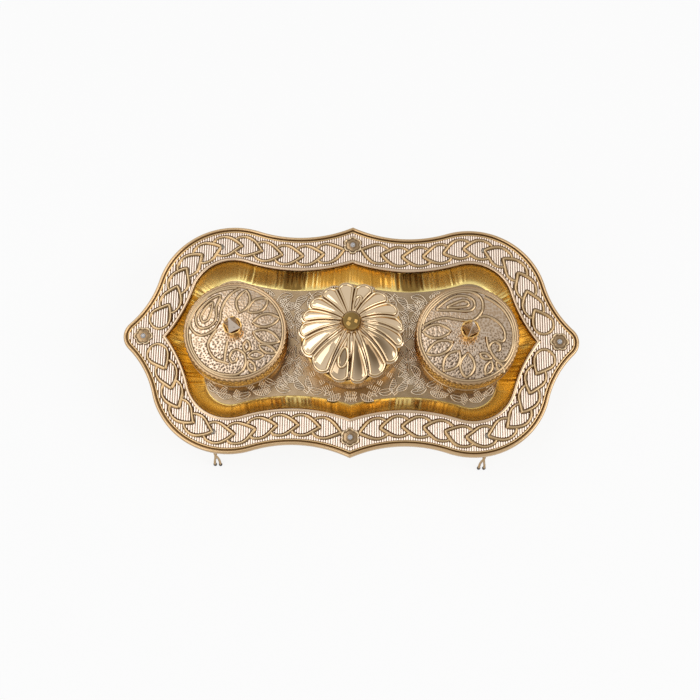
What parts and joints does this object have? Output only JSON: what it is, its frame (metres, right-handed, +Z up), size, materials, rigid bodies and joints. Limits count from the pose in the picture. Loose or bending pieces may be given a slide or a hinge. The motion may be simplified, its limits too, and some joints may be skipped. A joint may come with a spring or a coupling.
{
  "type": "kumkum box",
  "caption": "Ornamental tray on twisted wire legs with round lidded powder boxes, paisley lids and a flower lid that lift off.",
  "frame": {"origin": "on the ground under the middle of the tray", "axes": "+X along the tray towards the right box, +Y to the back, +Z up"},
  "size_m": [0.204, 0.1076, 0.0575],
  "materials": {
    "silver_plate": "pale silver-toned plating over fine embossing",
    "gold_plate": "polished warm gold plating",
    "champagne_plate": "polished pale champagne gold plating",
    "grey_rivet": "dull grey metal",
    "clear_stone": "clear cut stone",
    "dark_cap": "matt dark cap"
  },
  "bodies": {
    "tray": {"tray_rim": "silver_plate", "well_pan": "gold_plate", "floor_plate": "silver_plate", "rim_rosettes": "gold_plate", "rosette_stones": "clear_stone", "front_left_leg": "gold_plate", "front_right_leg": "gold_plate", "rear_left_leg": "gold_plate", "rear_right_leg": "gold_plate", "leg_rivets": "grey_rivet", "leg_toe_caps": "dark_cap"},
    "left_box": {"left_cup": "gold_plate"},
    "left_box_lid": {"left_lid": "silver_plate", "left_knob_calyx": "gold_plate", "left_knob_bud": "silver_plate", "left_knob_rivet": "grey_rivet"},
    "right_box": {"right_cup": "gold_plate"},
    "right_box_lid": {"right_lid": "silver_plate", "right_knob_calyx": "gold_plate", "right_knob_bud": "silver_plate", "right_knob_rivet": "grey_rivet"},
    "centre_box": {"centre_cup": "gold_plate"},
    "centre_box_lid": {"centre_lid": "champagne_plate", "centre_knob": "gold_plate", "centre_knob_rivet": "grey_rivet"}
  },
  "joints": [
    {"name": "left_box_lift", "type": "slide", "parent": "tray", "child": "left_box", "axis": [0, 0, 1], "range_m": [0, 0.04]},
    {"name": "left_lid_lift", "type": "slide", "parent": "left_box", "child": "left_box_lid", "axis": [0, 0, 1], "range_m": [0, 0.035]},
    {"name": "centre_box_lift", "type": "slide", "parent": "tray", "child": "centre_box", "axis": [0, 0, 1], "range_m": [0, 0.04]},
    {"name": "centre_lid_lift", "type": "slide", "parent": "centre_box", "child": "centre_box_lid", "axis": [0, 0, 1], "range_m": [0, 0.035]},
    {"name": "right_box_lift", "type": "slide", "parent": "tray", "child": "right_box", "axis": [0, 0, 1], "range_m": [0, 0.04]},
    {"name": "right_lid_lift", "type": "slide", "parent": "right_box", "child": "right_box_lid", "axis": [0, 0, 1], "range_m": [0, 0.035]}
  ]
}
